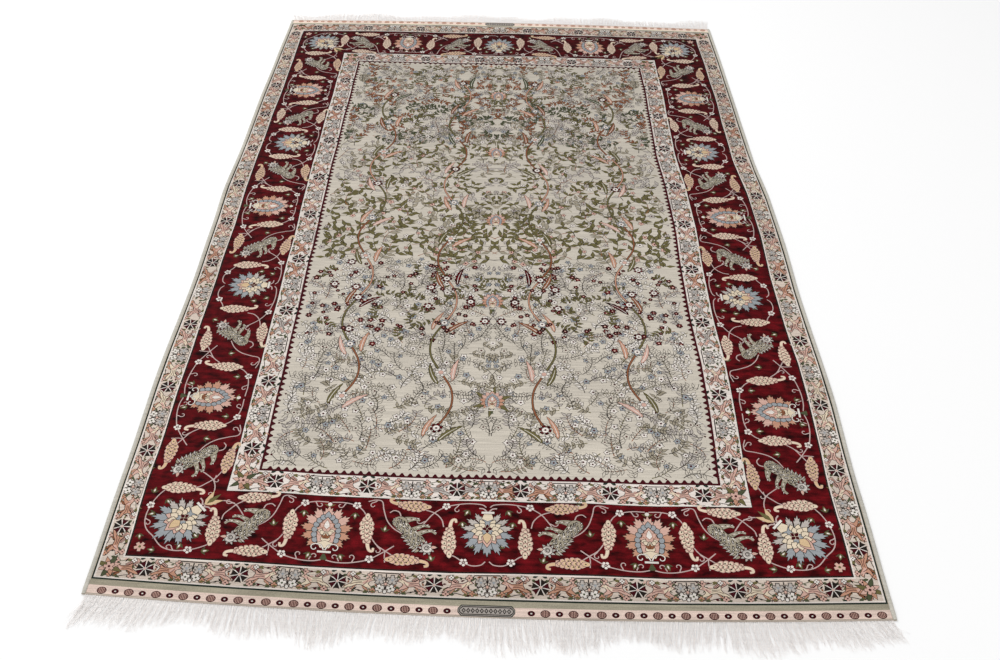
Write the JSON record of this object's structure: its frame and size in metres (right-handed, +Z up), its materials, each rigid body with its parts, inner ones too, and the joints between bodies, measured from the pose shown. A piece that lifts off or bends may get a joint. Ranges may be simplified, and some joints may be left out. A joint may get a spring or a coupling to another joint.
{
  "type": "knotted pile rug",
  "caption": "Flat rectangular silk pile rug with patterned borders, flat-woven ends and loose warp fringes, lying on the floor.",
  "frame": {"origin": "middle of the rug's own box, on the floor under it", "axes": "+X across the rug, +Y along it from the near end to the far end, +Z up, pile side up"},
  "size_m": [1.2194, 2.0404, 0.0034],
  "materials": {
    "silk_pile": "short cut silk pile with a soft sheen, crimson, cream and pale sage ground",
    "warp_silk": "loose undyed silk warps, off-white with a faint pink cast"
  },
  "bodies": {
    "root": {"cloth": "silk_pile", "fringe_near": "warp_silk", "fringe_far": "warp_silk"}
  },
  "joints": []
}
